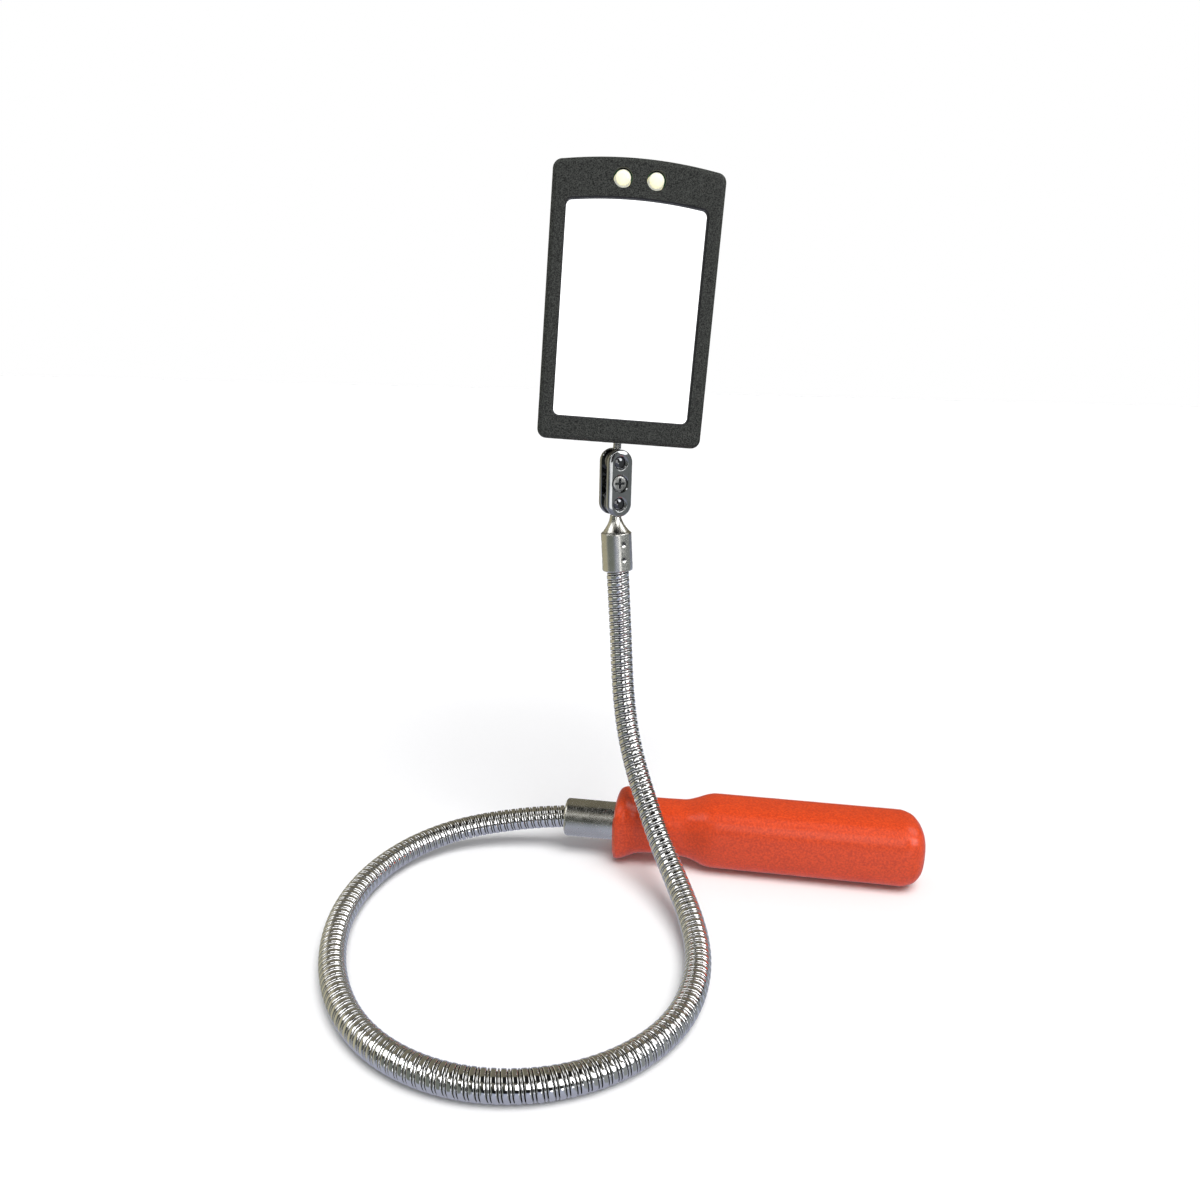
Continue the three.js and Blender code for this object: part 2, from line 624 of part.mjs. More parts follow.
const neckBall = ball("neck_ball");
neckBall.position.copy(tip.localToWorld(new THREE.Vector3(0, 0, TIP_BALL)));
neckBall.quaternion.copy(tip.quaternion);
mirror.add(neckBall);

const link = new THREE.Group();
link.position.copy(neckBall.position);
link.rotation.z = LINK_YAW;
link.add(linkPlate("link_plate_front", -LINK_INNER - LINK_PLATE), linkPlate("link_plate_rear", LINK_INNER));
link.add(linkScrew());
mirror.add(link);

const head = headGroup();
head.position.copy(neckBall.position).add(new THREE.Vector3(0, 0, LINK_SPACING));
const headBall = ball("head_ball");
head.add(headBall);
mirror.add(head);

export default mirror;
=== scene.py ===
"""Lighted inspection mirror on a flexible gooseneck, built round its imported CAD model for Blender 4.5."""
import json
import math

import bmesh
import bpy
import numpy as np
from mathutils import Matrix, Vector
from mathutils.geometry import tessellate_polygon

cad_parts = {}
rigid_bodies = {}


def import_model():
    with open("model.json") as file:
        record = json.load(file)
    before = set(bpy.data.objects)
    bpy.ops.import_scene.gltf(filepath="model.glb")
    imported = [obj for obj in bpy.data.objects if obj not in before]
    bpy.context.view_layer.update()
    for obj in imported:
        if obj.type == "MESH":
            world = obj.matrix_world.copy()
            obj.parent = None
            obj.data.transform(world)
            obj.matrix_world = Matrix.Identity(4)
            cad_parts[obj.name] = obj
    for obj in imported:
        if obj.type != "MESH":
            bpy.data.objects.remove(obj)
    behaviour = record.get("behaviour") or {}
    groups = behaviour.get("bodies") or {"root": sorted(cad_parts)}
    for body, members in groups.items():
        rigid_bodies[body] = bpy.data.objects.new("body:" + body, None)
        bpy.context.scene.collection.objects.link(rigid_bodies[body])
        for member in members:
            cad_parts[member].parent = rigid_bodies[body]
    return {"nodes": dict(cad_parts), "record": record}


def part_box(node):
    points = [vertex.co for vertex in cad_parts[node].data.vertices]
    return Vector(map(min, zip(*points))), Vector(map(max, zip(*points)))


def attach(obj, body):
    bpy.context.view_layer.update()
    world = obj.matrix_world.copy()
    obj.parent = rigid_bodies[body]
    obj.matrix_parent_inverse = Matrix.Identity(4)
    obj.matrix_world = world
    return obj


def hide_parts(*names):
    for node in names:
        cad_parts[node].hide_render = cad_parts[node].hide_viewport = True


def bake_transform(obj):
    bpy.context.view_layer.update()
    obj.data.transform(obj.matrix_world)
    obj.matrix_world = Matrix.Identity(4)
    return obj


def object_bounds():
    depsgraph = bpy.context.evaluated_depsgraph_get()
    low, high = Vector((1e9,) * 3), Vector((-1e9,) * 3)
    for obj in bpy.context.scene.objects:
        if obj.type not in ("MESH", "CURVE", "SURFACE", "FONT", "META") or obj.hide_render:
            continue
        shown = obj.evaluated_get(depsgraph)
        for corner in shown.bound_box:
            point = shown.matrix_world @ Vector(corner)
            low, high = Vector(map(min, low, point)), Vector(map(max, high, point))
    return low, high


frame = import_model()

cad_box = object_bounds()
MM = 0.001
TAU = 2 * math.pi
JOINTS = {j["name"]: j for j in frame["record"]["behaviour"]["joints"]}

# ---------------------------------------------------------------- sizes that the CAD doesn't state, in mm
SQUARENESS = 2.8  # exponent of the handle's rounded-square section
WINDING_PITCH = 2.68
WINDING_SIDES = 28
WINDING_R = 4.1
WIDE_WIRE = 0.53  # share of the pitch that the wide wire takes
WIRE_SAG = 0.08  # how far the edges of a wire lie below its crown
NARROW_HALF = 0.10  # half of the pitch share that the narrow wire takes
NARROW_SINK = 0.05  # how far its crown lies below that of the wide wire
GAP_DEPTH = 0.75
GAP_LEAN = 0.02  # slope of a gap's walls, as a share of the pitch
GAP_SHADE = (0.19, 0.40)  # shares of the gap's depth where its painted shade starts and is full
HEAD_CORNER = 3.2
HEAD_BOW = 2.1
VIEW_CORNER = 2.0
VIEW_BOW = 1.5
GLASS_LIP = 1.6
WALL = 1.7
DOOR_GAP = 0.15
LAMP_HOLE_R = 3.15
FERRULE_STRAIGHT = 14
FERRULE_FLARE = 6.2
STEM_R = 2.0
DENT_R = 1.05
DENT_DEPTH = 0.42
DENT_TURN = math.radians(36)  # first crimp dent of the top ferrule, from -Y towards +X
DENT_HEIGHTS = (4.6, 10.2)
DENTS_AROUND = 3
CAP_LENGTH = 9  # the handle's rounded end


# ---------------------------------------------------------------- local frames
def basis(origin, x, z):
    """A matrix whose columns are x, y and z of a local frame; x is made square to z."""
    z = Vector(z).normalized()
    y = z.cross(Vector(x)).normalized()
    m = Matrix((y.cross(z), y, z)).transposed().to_4x4()
    m.translation = origin
    return m


def extent(node, m):
    """Lowest and highest corner of a CAD node in a local frame, in mm."""
    back = m.inverted()
    co = np.array([back @ v.co for v in frame["nodes"][node].data.vertices]) / MM
    return Vector(co.min(0)), Vector(co.max(0))


def inside(m, point):
    """A point in a local frame, in mm."""
    return m.inverted() @ point / MM


NECK_BALL = Vector(JOINTS["neck_ball_turn"]["pos_m"])
HEAD_BALL = Vector(JOINTS["head_ball_turn"]["pos_m"])
TIP = basis(NECK_BALL, (1, 0, 0), JOINTS["neck_ball_turn"]["axis"])
HEAD = basis(HEAD_BALL, JOINTS["switch_slide"]["axis"], JOINTS["head_ball_turn"]["axis"])
LINK_Y = Vector(JOINTS["neck_ball_swing"]["axis"])
LINK = basis(NECK_BALL, LINK_Y.cross(HEAD_BALL - NECK_BALL), HEAD_BALL - NECK_BALL)
AXIS_Z = sum(c.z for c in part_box("handle_ferrule")) / 2
FRONT = Vector((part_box("handle")[0].x, 0, AXIS_Z))
OUTWARD = basis(FRONT, (0, 0, 1), (-1, 0, 0))  # z runs out of the handle, along the ferrule


# ---------------------------------------------------------------- materials
def new_material(name, color, roughness, metallic=0.0, **sockets):
    material = bpy.data.materials.new(name)
    material.use_nodes = True
    shader = material.node_tree.nodes["Principled BSDF"]
    shader.inputs["Base Color"].default_value = (*color, 1)
    shader.inputs["Roughness"].default_value = roughness
    shader.inputs["Metallic"].default_value = metallic
    for key, value in sockets.items():
        shader.inputs[key.replace("_", " ")].default_value = value
    return material, material.node_tree, shader


def node(tree, kind, **values):
    made = tree.nodes.new(kind)
    for key, value in values.items():
        if hasattr(made, key):
            setattr(made, key, value)
        else:
            made.inputs[key.replace("_", " ")].default_value = value
    return made


def noise(tree, scale, detail=3.0, rough=0.55, stretch=(1, 1, 1)):
    """Noise over the piece's own rest coordinates; scale is in cells per metre."""
    where = node(tree, "ShaderNodeTexCoord")
    mapping = node(tree, "ShaderNodeMapping", Scale=stretch)
    made = node(tree, "ShaderNodeTexNoise", Scale=scale, Detail=detail, Roughness=rough)
    tree.links.new(where.outputs["Object"], mapping.inputs["Vector"])
    tree.links.new(mapping.outputs["Vector"], made.inputs["Vector"])
    return made.outputs["Fac"]


def two_tone(tree, fac, first, second, low, high):
    """The first colour up to low, the second from high on, and a blend between them."""
    ramp = node(tree, "ShaderNodeValToRGB")
    for element, at, color in zip(ramp.color_ramp.elements, (low, high), (first, second)):
        element.position = at
        element.color = (*color, 1)
    tree.links.new(fac, ramp.inputs["Fac"])
    return ramp.outputs["Color"]


def vary_color(tree, shader, fac, dark, light, low=0.35, high=0.65):
    tree.links.new(two_tone(tree, fac, dark, light, low, high), shader.inputs["Base Color"])


def vary_roughness(tree, shader, fac, low, high):
    spread = node(tree, "ShaderNodeMapRange", From_Min=0.3, From_Max=0.7, To_Min=low, To_Max=high)
    tree.links.new(fac, spread.inputs["Value"])
    tree.links.new(spread.outputs["Result"], shader.inputs["Roughness"])


def bump(tree, shader, height, strength, depth_mm):
    made = node(tree, "ShaderNodeBump", Strength=strength, Distance=depth_mm * MM)
    tree.links.new(height, made.inputs["Height"])
    if shader.inputs["Normal"].is_linked:
        tree.links.new(shader.inputs["Normal"].links[0].from_socket, made.inputs["Normal"])
    tree.links.new(made.outputs["Normal"], shader.inputs["Normal"])


def orange_plastic():
    base = (0.8, 0.09, 0.015)
    m, tree, s = new_material("orange_plastic", base, 0.4, Coat_Weight=0.25, Coat_Roughness=0.22)
    vary_color(tree, s, noise(tree, 1300, 4), (0.56, 0.040, 0.005), (0.78, 0.072, 0.008))
    vary_roughness(tree, s, noise(tree, 900, 3), 0.34, 0.46)
    bump(tree, s, noise(tree, 1300, 2), 0.45, 0.07)
    return m


def charcoal_plastic():
    base = (0.05, 0.05, 0.052)
    m, tree, s = new_material("charcoal_plastic", base, 0.55, Specular_IOR_Level=0.22)
    grain = noise(tree, 2400, 4, 0.7)
    vary_color(tree, s, grain, (0.006, 0.0065, 0.006), (0.066, 0.070, 0.064), 0.40, 0.60)
    vary_roughness(tree, s, noise(tree, 700, 3), 0.42, 0.60)
    bump(tree, s, noise(tree, 1700, 3, 0.7), 0.6, 0.09)
    return m


def metal(name, color, low, high, grain=600, stretch=(1, 1, 1), depth=0.01):
    m, tree, s = new_material(name, color, (low + high) / 2, 1.0)
    dark = tuple(c * 0.86 for c in color)
    vary_color(tree, s, noise(tree, grain / 4, 4), dark, color)
    vary_roughness(tree, s, noise(tree, grain, 3, 0.6, stretch), low, high)
    bump(tree, s, noise(tree, grain * 2, 2, 0.6, stretch), 0.3, depth)
    return m


def chrome_coil():
    """Bright wire; the gaps between its turns carry painted shade, dark and dull."""
    m, tree, s = new_material("chrome_coil", (0.8, 0.79, 0.77), 0.12, 1.0)
    depth = node(tree, "ShaderNodeAttribute", attribute_name="gap_shade_depth").outputs["Fac"]
    # Painted shade: the wire turns dark and loses its shine with its depth in a gap.
    bright, dark = (0.86, 0.86, 0.86), (0.012, 0.011, 0.010)
    vary_color(tree, s, depth, bright, dark, *GAP_SHADE)
    start, full = GAP_SHADE
    shine = node(tree, "ShaderNodeMapRange", From_Min=start, From_Max=full, To_Min=1.0, To_Max=0.0)
    tree.links.new(depth, shine.inputs["Value"])
    tree.links.new(shine.outputs["Result"], s.inputs["Metallic"])
    tree.links.new(shine.outputs["Result"], s.inputs["Specular IOR Level"])
    vary_roughness(tree, s, noise(tree, 500, 4), 0.03, 0.10)
    return m


def mirror_silver():
    m, tree, s = new_material("mirror_silver", (0.97, 0.975, 0.98), 0.0, 1.0)
    vary_roughness(tree, s, noise(tree, 30, 3), 0.0, 0.015)
    return m


def lamp_resin():
    """Pale resin that glows a little, yellow in the middle and white at the rim."""
    m, tree, s = new_material("lamp_resin", (0.95, 0.92, 0.72), 0.25, 0.0, Emission_Strength=0.5)
    facing = node(tree, "ShaderNodeLayerWeight", Blend=0.35)
    glow = two_tone(tree, facing.outputs["Facing"], (0.97, 0.92, 0.58), (1.0, 1.0, 0.90), 0.05, 0.6)
    tree.links.new(glow, s.inputs["Base Color"])
    tree.links.new(glow, s.inputs["Emission Color"])
    bump(tree, s, noise(tree, 700, 3), 0.5, 0.2)
    return m


def speckled(name, dark, light, roughness, scale, depth):
    m, tree, s = new_material(name, light, roughness)
    vary_color(tree, s, noise(tree, scale, 4), dark, light)
    vary_roughness(tree, s, noise(tree, scale * 2, 3), roughness - 0.06, roughness + 0.08)
    bump(tree, s, noise(tree, scale * 3, 3), 0.5, depth)
    return m


def board_laminate():
    """Green solder resist with paler tracks in straight bands."""
    m, tree, s = new_material("board_laminate", (0.02, 0.16, 0.06), 0.35)
    where = node(tree, "ShaderNodeTexCoord")
    bands = node(tree, "ShaderNodeTexWave", Scale=300.0, Distortion=0.0)
    tree.links.new(where.outputs["Object"], bands.inputs["Vector"])
    vary_color(tree, s, bands.outputs["Fac"], (0.02, 0.14, 0.05), (0.05, 0.26, 0.10), 0.78, 0.84)
    vary_roughness(tree, s, noise(tree, 900, 3), 0.3, 0.45)
    return m


MATERIALS = {
    "orange_plastic": orange_plastic(),
    "charcoal_plastic": charcoal_plastic(),
    "black_plastic": speckled("black_plastic", (0.008, 0.008, 0.009), (0.018, 0.018, 0.02), 0.5, 800, 0.05),
    "chrome_coil": chrome_coil(),
    "satin_nickel": metal("satin_nickel", (0.80, 0.79, 0.74), 0.20, 0.30, 500),
    "polished_steel": metal("polished_steel", (0.44, 0.45, 0.455), 0.06, 0.14, 700, depth=0.01),
    "ball_steel": metal("ball_steel", (0.15, 0.153, 0.158), 0.03, 0.08, 300, depth=0.002),
    "screw_steel": metal("screw_steel", (0.52, 0.52, 0.50), 0.24, 0.38, 900),
    "mirror": mirror_silver(),
    "lamp_resin": lamp_resin(),
    "foam": speckled("foam", (0.01, 0.01, 0.01), (0.03, 0.03, 0.03), 0.9, 1500, 0.2),
    "board_laminate": board_laminate(),
    "cell_case": metal("cell_case", (0.72, 0.72, 0.73), 0.18, 0.3, 400),
    "contact_brass": metal("contact_brass", (0.75, 0.55, 0.22), 0.2, 0.34, 500),
}


# ---------------------------------------------------------------- meshes
def face_outward(mesh, weld=0.0):
    """Turns a mesh's faces outward, after joining points that lie closer than weld."""
    work = bmesh.new()
    work.from_mesh(mesh)
    if weld:
        bmesh.ops.remove_doubles(work, verts=work.verts, dist=weld)
    bmesh.ops.recalc_face_normals(work, faces=work.faces)
    work.to_mesh(mesh)
    work.free()


def build(name, verts, faces, m, finish, body=None, stands_for=(), crease=32, flat=()):
    """A piece from points in mm in the local frame m. Faces listed in flat keep flat shading."""
    mesh = bpy.data.meshes.new(name)
    mesh.from_pydata([m @ (Vector(v) * MM) for v in verts], [], faces)
    mesh.update()
    face_outward(mesh)
    mesh.shade_smooth()
    mesh.set_sharp_from_angle(angle=math.radians(crease))
    for i in flat:
        mesh.polygons[i].use_smooth = False
    piece = bpy.data.objects.new(name, mesh)
    bpy.context.scene.collection.objects.link(piece)
    mesh.materials.append(MATERIALS[finish])
    return settle(piece, finish, body, stands_for)


def settle(piece, finish, body, stands_for):
    slots = {s["slot"] for s in frame["record"]["materials"]}
    finish if finish in slots else "polished_steel"
    if stands_for:
        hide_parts(*stands_for)
    if body:
        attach(piece, body)
    return piece


def merge(*parts):
    """Joins several (verts, faces) pairs into one."""
    verts, faces = [], []
    for v, f in parts:
        base = len(verts)
        verts += v
        faces += [tuple(i + base for i in face) for face in f]
    return verts, faces


def lathe(profile, sides=64):
    """A surface turned about z from (radius, z) points; a radius of zero makes a pole."""
    verts, faces, rows = [], [], []
    for r, z in profile:
        if r < 1e-6:
            rows.append([len(verts)] * sides)
            verts.append((0, 0, z))
            continue
        rows.append(list(range(len(verts), len(verts) + sides)))
        verts += [(r * math.cos(TAU * i / sides), r * math.sin(TAU * i / sides), z) for i in range(sides)]
    for a, b in zip(rows, rows[1:]):
        for i in range(sides):
            quad = [a[i], a[(i + 1) % sides], b[(i + 1) % sides], b[i]]
            faces.append(tuple(dict.fromkeys(quad)))
    return verts, faces


def arc(cx, cz, r, start, stop, steps):
    """Points of an arc in degrees, as (x, z)."""
    turn = [math.radians(start + (stop - start) * i / steps) for i in range(steps + 1)]
    return [(cx + r * math.cos(t), cz + r * math.sin(t)) for t in turn]


def fine(profile, step):
    """The same profile with points no further apart than step."""
    out = [profile[0]]
    for a, b in zip(profile, profile[1:]):
        n = max(1, math.ceil(math.dist(a, b) / step))
        out += [(a[0] + (b[0] - a[0]) * i / n, a[1] + (b[1] - a[1]) * i / n) for i in range(1, n + 1)]
    return out


def walls_mesh(walls):
    """A solid from walls: each is a list of rings, the first wall outside and the others round holes.
    The first and the last rings are closed by flat faces, whose numbers are returned too."""
    verts, faces, ends = [], [], ([], [])
    for wall in walls:
        n, base = len(wall[0]), len(verts)
        for ring in wall:
            verts += ring
        for r in range(len(wall) - 1):
            for i in range(n):
                a, b = base + r * n + i, base + r * n + (i + 1) % n
                faces.append((a, b, b + n, a + n))
        ends[0].append(list(range(base, base + n)))
        ends[1].append(list(range(base + (len(wall) - 1) * n, base + len(wall) * n)))
    first_flat = len(faces)
    for loops in ends:
        order = [i for loop in loops for i in loop]
        for tri in tessellate_polygon([[Vector(verts[i]) for i in loop] for loop in loops]):
            faces.append(tuple(order[i] for i in tri))
    return verts, faces, range(first_flat, len(faces))


def rounded(y0, y1, front, back, steps=5):
    """(inset, y) points of an edge from y0 to y1, rounded by these radii at its front and back."""
    out = []
    for i in range(steps + 1):
        t = math.pi / 2 * i / steps
        out.append((front * (1 - math.sin(t)), y0 + front * (1 - math.cos(t))))
    for i in range(steps + 1):
        t = math.pi / 2 * (1 - i / steps)
        out.append((back * (1 - math.sin(t)), y1 - back * (1 - math.cos(t))))
    return out


def wall(outline, profile, sign=1):
    """Rings of an outline (a function of inset) along a profile of (inset, y) points."""
    return [[(x, y, z) for x, z in outline(sign * inset)] for inset, y in profile]


def panel(w, z0, z1, corner, bow):
    """Outline of a rectangle with round corners and a bowed top, as a function of its inset."""

    def at(inset):
        x, low, high, r = w / 2 - inset, z0 + inset, z1 - inset, max(corner - inset, 0.2)
        points = arc(x - r, low + r, r, -90, 0, 8)
        points += arc(x - r, high - r, r, 0, 84, 8)
        for i in range(1, 24):
            t = 1 - 2 * i / 24
            points.append((t * (x - r), high + bow * (1 - t * t)))
        points += arc(-x + r, high - r, r, 96, 180, 8)
        points += arc(-x + r, low + r, r, 180, 270, 8)
        return points

    return at


def ring_of(r, x=0.0, z=0.0, steps=40):
    """Outline of a round hole or pin, as a function of its inset."""
    return lambda inset: [
        (x + (r - inset) * math.cos(TAU * i / steps), z + (r - inset) * math.sin(TAU * i / steps))
        for i in range(steps)
    ]


def block(x0, x1, z0, z1, corner=0.3):
    """Outline of a rectangle with round corners, as a function of its inset."""

    def at(inset):
        r = max(corner - inset, 0.05)
        a, b, c, d = x0 + inset + r, x1 - inset - r, z0 + inset + r, z1 - inset - r
        points = []
        for k, (x, z) in enumerate(((b, c), (b, d), (a, d), (a, c))):
            points += arc(x, z, r, 90 * k - 90, 90 * k, 4)
        return points

    return at


def cut(piece, verts, faces, m):
    """Cuts a closed body, in mm in the local frame m, out of a piece."""
    tool = bpy.data.objects.new("cutter", bpy.data.meshes.new("cutter"))
    tool.data.from_pydata([m @ (Vector(v) * MM) for v in verts], [], faces)
    face_outward(tool.data)
    bpy.context.scene.collection.objects.link(tool)
    modifier = piece.modifiers.new("cut", "BOOLEAN")
    modifier.operation = "DIFFERENCE"
    modifier.solver = "EXACT"
    modifier.object = tool
    bake(piece)
    bpy.data.objects.remove(tool)


def bake(piece, crease=32):
    """Applies a piece's modifiers."""
    bpy.context.view_layer.update()
    done = bpy.data.meshes.new_from_object(piece.evaluated_get(bpy.context.evaluated_depsgraph_get()))
    piece.modifiers.clear()
    old = piece.data
    piece.data = done
    bpy.data.meshes.remove(old)
    done.shade_smooth()
    done.set_sharp_from_angle(angle=math.radians(crease))


def bevel(piece, width, segments=3, angle=40):
    made = piece.modifiers.new("edges", "BEVEL")
    made.width = width * MM
    made.segments = segments
    made.limit_method = "ANGLE"
    made.angle_limit = math.radians(angle)


def dented(verts, dents, radius, depth):
    """Presses round dents, given as points, into a body turned about z."""
    out = []
    for v in verts:
        p = Vector(v)
        for d in dents:
            near = (p - d).length / radius
            if near < 1:
                p -= Vector((d.x, d.y, 0)).normalized() * depth * (1 - near * near) ** 2
        out.append(tuple(p))
    return out


def cross_cutter(arm, width, z0, z1):
    """Two crossed bars along z, for a screw's recess."""
    parts = []
    for w, h in ((arm, width), (width, arm)):
        rings = [[(x, y, z) for x, y in ((-w, -h), (w, -h), (w, h), (-w, h))] for z in (z0, z1)]
        verts, faces, _ = walls_mesh([rings])
        parts.append((verts, faces))
    return parts


# ---------------------------------------------------------------- handle
def handle_sections():
    """(x, up, down, side) of the CAD handle at each of its stations, in mm from its axis."""
    co = np.array([v.co for v in frame["nodes"]["handle"].data.vertices]) / MM
    co[:, 2] -= AXIS_Z / MM
    out = []
    for x in np.unique(np.round(co[:, 0], 2)):
        ring = co[np.abs(co[:, 0] - x) < 0.02]
        if ring[:, 1].max() > 8 or x > 50:
            out.append((x, ring[:, 2].max(), -ring[:, 2].min(), ring[:, 1].max()))
    return np.array(out)


def smooth_curve(x, y):
    """A smooth curve through the points that doesn't overshoot them."""
    slope = np.diff(y) / np.diff(x)
    m = np.zeros_like(y)
    inner = slope[:-1] * slope[1:] > 0
    m[1:-1][inner] = 2 * slope[:-1][inner] * slope[1:][inner] / (slope[:-1] + slope[1:])[inner]
    m[0], m[-1] = slope[0], slope[-1]

    def at(t):
        i = np.clip(np.searchsorted(x, t) - 1, 0, len(x) - 2)
        h = x[i + 1] - x[i]
        s = (t - x[i]) / h
        return (
            (1 + 2 * s) * (1 - s) ** 2 * y[i]
            + s * (1 - s) ** 2 * h * m[i]
            + s * s * (3 - 2 * s) * y[i + 1]
            + s * s * (s - 1) * h * m[i + 1]
        )

    return at


def handle():
    table = handle_sections()
    up, down, side = [smooth_curve(table[:, 0], table[:, k]) for k in (1, 2, 3)]
    x0, x1 = table[0, 0], table[-1, 0]
    cap = x1 - CAP_LENGTH
    stations = np.concatenate([np.linspace(x0, x0 + 12, 25), np.linspace(x0 + 13, cap, 70)])
    tail = cap + CAP_LENGTH * np.sin(np.linspace(0.05, 0.985, 16) * math.pi / 2)
    sides = 96
    lip = 0.35
    rings = []
    for x in [x0, *stations, *tail]:
        inset = lip if len(rings) == 0 else 0
        ring = []
        for i in range(sides):
            a = TAU * i / sides
            c, s = math.cos(a), math.sin(a)
            y = math.copysign(abs(c) ** (2 / SQUARENESS), c) * (side(x) - inset)
            z = math.copysign(abs(s) ** (2 / SQUARENESS), s) * ((up(x) if s > 0 else down(x)) - inset)
            ring.append((x + (lip if len(rings) == 1 else 0), y, z + AXIS_Z / MM))
        rings.append(ring)
    verts, faces = [v for ring in rings for v in ring], []
    for r in range(len(rings) - 1):
        for i in range(sides):
            a, b = r * sides + i, r * sides + (i + 1) % sides
            faces.append((a, b, b + sides, a + sides))
    faces.append(tuple(range(sides)))
    faces.append(tuple(range(len(verts) - sides, len(verts))))
    whole = Matrix.Identity(4)
    piece = build("handle_moulding", verts, faces, whole, "orange_plastic", None, ["handle"])
    bore = extent("handle_ferrule", OUTWARD)[1].x + 0.25
    socket = lathe([(0, -22), (bore, -22), (bore, -0.6), (bore + 0.7, 0.1), (bore + 0.7, 3), (0, 3)], 64)
    cut(piece, *socket, OUTWARD)
    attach(piece, "handle")


def handle_ferrule():
    lo, hi = extent("handle_ferrule", OUTWARD)
    r, inner, end = hi.x, 4.35, hi.z
    profile = [(inner, lo.z), (r, lo.z)]
    profile += [(r, end - 1.2)]
    profile += [(x, z) for x, z in arc(r - 1.0, end - 1.0, 1.0, 0, 90, 8)]
    profile += [(inner + 0.5, end), (inner, end - 0.6), (inner, lo.z)]
    verts, faces = lathe(fine(profile, 0.6), 96)
    build("ferrule_tube", verts, faces, OUTWARD, "satin_nickel", "handle", ["handle_ferrule"])


# ---------------------------------------------------------------- gooseneck
def neck_chain():
    """The gooseneck's joints in order, from the handle to the top ferrule."""
    chain, body = [], "handle"
    while body != "neck_tip":
        joint = next(j for j in JOINTS.values() if j["parent"] == body and j["child"].startswith("neck_"))
        chain.append(joint)
        body = joint["child"]
    return chain


def cubic(knots):
    """A natural cubic spline through points, as (function of parameter, parameters of the points)."""
    t = np.concatenate([[0], np.cumsum(np.linalg.norm(np.diff(knots, axis=0), axis=1))])
    h, n = np.diff(t), len(t)
    a, b = np.zeros((n, n)), np.zeros((n, 3))
    a[0, 0] = a[-1, -1] = 1
    for i in range(1, n - 1):
        a[i, i - 1 : i + 2] = h[i - 1], 2 * (h[i - 1] + h[i]), h[i]
        b[i] = 6 * ((knots[i + 1] - knots[i]) / h[i] - (knots[i] - knots[i - 1]) / h[i - 1])
    m = np.linalg.solve(a, b)

    def at(u):
        i = np.clip(np.searchsorted(t, u, side="right") - 1, 0, n - 2)
        w = (u - t[i])[:, None]
        v = (t[i + 1] - u)[:, None]
        d = h[i][:, None]
        return (
            (m[i] * v**3 + m[i + 1] * w**3) / (6 * d)
            + (knots[i] / d - m[i] * d / 6) * v
            + (knots[i + 1] / d - m[i + 1] * d / 6) * w
        )

    return at, t


class CentreLine:
    """The gooseneck's centre line by arc length in mm, with a frame that doesn't twist."""

    def __init__(self, knots):
        at, t = cubic(knots)
        u = np.linspace(0, t[-1], 6000)
        self.points = at(u)
        step = np.linalg.norm(np.diff(self.points, axis=0), axis=1)
        self.s = np.concatenate([[0], np.cumsum(step)])
        self.length = self.s[-1]
        self.knots_s = np.interp(t, u, self.s)
        tangent = np.gradient(self.points, self.s, axis=0)
        self.tangent = tangent / np.linalg.norm(tangent, axis=1)[:, None]
        normal = np.zeros_like(self.tangent)
        normal[0] = (0, 0, 1)
        for i in range(1, len(normal)):
            n = normal[i - 1] - self.tangent[i] * (normal[i - 1] @ self.tangent[i])
            normal[i] = n / np.linalg.norm(n)
        self.normal = normal
        self.side = np.cross(self.tangent, self.normal)

    def _at(self, table, s):
        return np.stack([np.interp(s, self.s, table[:, k]) for k in range(3)], -1)

    def point(self, s):
        return self._at(self.points, s)

    def skin(self, s, turn, r):
        return (
            self._at(self.points, s)
            + self._at(self.normal, s) * (r * np.cos(turn))[:, None]
            + self._at(self.side, s) * (r * np.sin(turn))[:, None]
        )


def winding_profile():
    """(share of the pitch, depth below the crown) across one turn: the wide wire, then the narrow one."""
    out = []
    for x in np.linspace(-1, 1, 7):
        out.append(((x + 1) / 2 * WIDE_WIRE, WIRE_SAG * x**6))
    middle = (WIDE_WIRE + 1) / 2
    out.append((WIDE_WIRE + GAP_LEAN, GAP_DEPTH))
    out.append((middle - NARROW_HALF - GAP_LEAN, GAP_DEPTH))
    for x in np.linspace(-1, 1, 5):
        out.append((middle + x * NARROW_HALF, NARROW_SINK + WIRE_SAG * x * x))
    out.append((middle + NARROW_HALF + GAP_LEAN, GAP_DEPTH))
    out.append((1 - GAP_LEAN, GAP_DEPTH))
    return out


